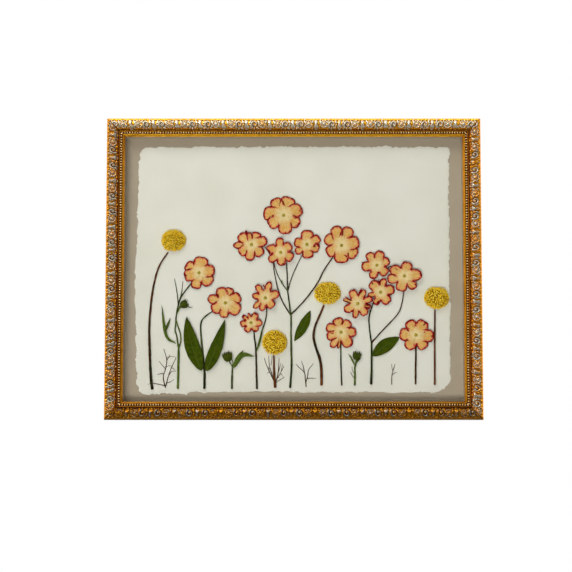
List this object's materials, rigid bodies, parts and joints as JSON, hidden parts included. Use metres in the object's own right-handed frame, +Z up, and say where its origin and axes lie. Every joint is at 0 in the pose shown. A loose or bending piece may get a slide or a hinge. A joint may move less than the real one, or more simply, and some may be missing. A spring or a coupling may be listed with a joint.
{
  "type": "pressed flower frame",
  "caption": "Gilt moulded frame with glass over pressed flowers, leaves and billy buttons on a deckle-edged sheet.",
  "frame": {"origin": "the middle notch of the sawtooth hanger, in the plane of the rails' backs", "axes": "+Z up, +X to the right as seen from the front, -Y towards the viewer"},
  "size_m": [0.3874, 0.0285, 0.3112],
  "materials": {
    "gilt_moulding": "gilded composition ornament rubbed with silver, umber in the hollows",
    "clear_glass": "clear polished picture glass",
    "taupe_board": "matt taupe mat board",
    "handmade_paper": "matt cream cotton paper with a deckle edge",
    "brown_board": "matt brown hardboard",
    "zinc_steel": "zinc plated steel",
    "brass_plate": "brass plated steel",
    "dried_petal": "papery tan petals with dark red edges",
    "yellow_floret": "dense mustard yellow florets",
    "dried_stem": "dried stem, dark green to brown",
    "dried_leaf": "pressed leaf, dark green with a dull sheen"
  },
  "bodies": {
    "root": {"rail_top": "gilt_moulding", "rail_bottom": "gilt_moulding", "rail_left": "gilt_moulding", "rail_right": "gilt_moulding", "glass": "clear_glass", "spacer_top": "taupe_board", "spacer_bottom": "taupe_board", "spacer_left": "taupe_board", "spacer_right": "taupe_board", "mat_board": "taupe_board", "paper_sheet": "handmade_paper", "backing_board": "brown_board", "tab_1": "zinc_steel", "tab_2": "zinc_steel", "tab_3": "zinc_steel", "tab_4": "zinc_steel", "tab_5": "zinc_steel", "tab_6": "zinc_steel", "hanger_nail_left": "zinc_steel", "hanger_nail_right": "zinc_steel", "hanger": "brass_plate", "flower_01": "dried_petal", "flower_02": "dried_petal", "flower_03": "dried_petal", "flower_04": "dried_petal", "flower_05": "dried_petal", "flower_06": "dried_petal", "flower_07": "dried_petal", "flower_08": "dried_petal", "flower_09": "dried_petal", "flower_10": "dried_petal", "flower_11": "dried_petal", "flower_12": "dried_petal", "flower_13": "dried_petal", "flower_14": "dried_petal", "flower_15": "dried_petal", "ball_1": "yellow_floret", "ball_2": "yellow_floret", "ball_3": "yellow_floret", "ball_4": "yellow_floret", "stem_01": "dried_stem", "stem_02": "dried_stem", "stem_03": "dried_stem", "stem_04": "dried_stem", "stem_05": "dried_stem", "stem_06": "dried_stem", "stem_07": "dried_stem", "stem_08": "dried_stem", "stem_09": "dried_stem", "stem_10": "dried_stem", "stem_11": "dried_stem", "stem_12": "dried_stem", "stem_13": "dried_stem", "leaf_1": "dried_leaf", "leaf_2": "dried_leaf", "leaf_3": "dried_leaf", "leaf_4": "dried_leaf", "bud_1": "dried_leaf", "bud_2": "dried_leaf", "bud_3": "dried_leaf"}
  },
  "joints": []
}
